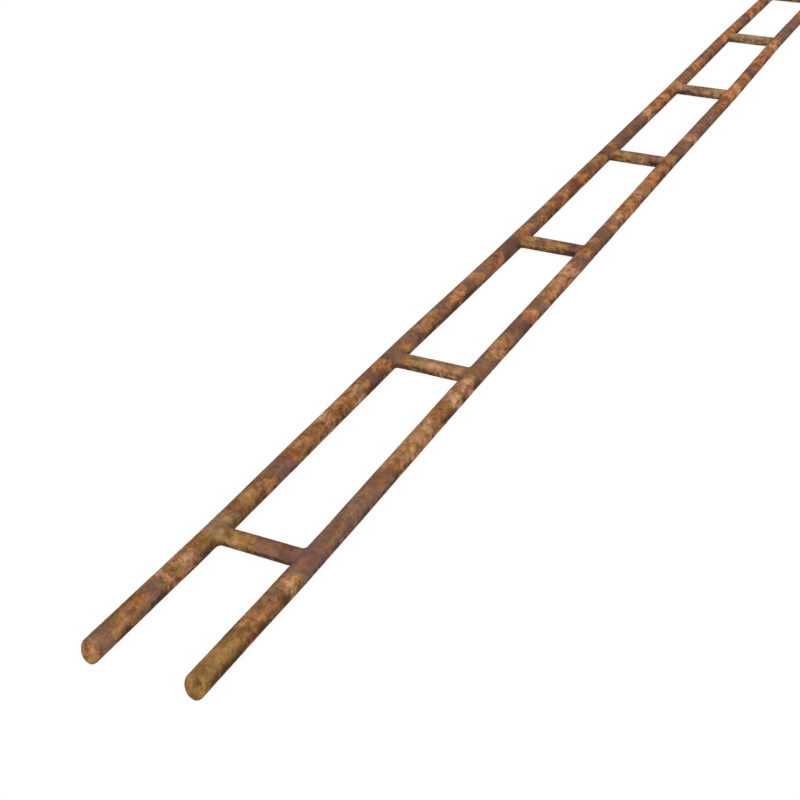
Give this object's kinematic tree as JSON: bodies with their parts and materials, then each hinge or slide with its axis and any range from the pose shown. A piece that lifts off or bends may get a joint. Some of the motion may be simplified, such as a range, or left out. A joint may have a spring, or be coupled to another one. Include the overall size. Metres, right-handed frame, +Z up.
{
  "type": "welded steel bar ladder",
  "caption": "Flat ladder of plain round steel bar: two parallel side bars joined by butt-welded cross bars at even spacing, ends cropped aslant, rusted all over.",
  "frame": {"origin": "midway between the side bars and half-way along them, on the floor that they lie on", "axes": "+Y along the side bars, +X across the ladder, +Z up from the floor"},
  "size_m": [0.08, 2, 0.014],
  "materials": {
    "rusted_steel": "bare hot-rolled round bar, rusted all over: dull ochre and tan rust with orange-brown and dark purple-brown patches, finely pitted"
  },
  "bodies": {
    "root": {"side_bar_left": "rusted_steel", "side_bar_right": "rusted_steel", "cross_bar_01": "rusted_steel", "cross_bar_02": "rusted_steel", "cross_bar_03": "rusted_steel", "cross_bar_04": "rusted_steel", "cross_bar_05": "rusted_steel", "cross_bar_06": "rusted_steel", "cross_bar_07": "rusted_steel", "cross_bar_08": "rusted_steel"}
  },
  "joints": []
}
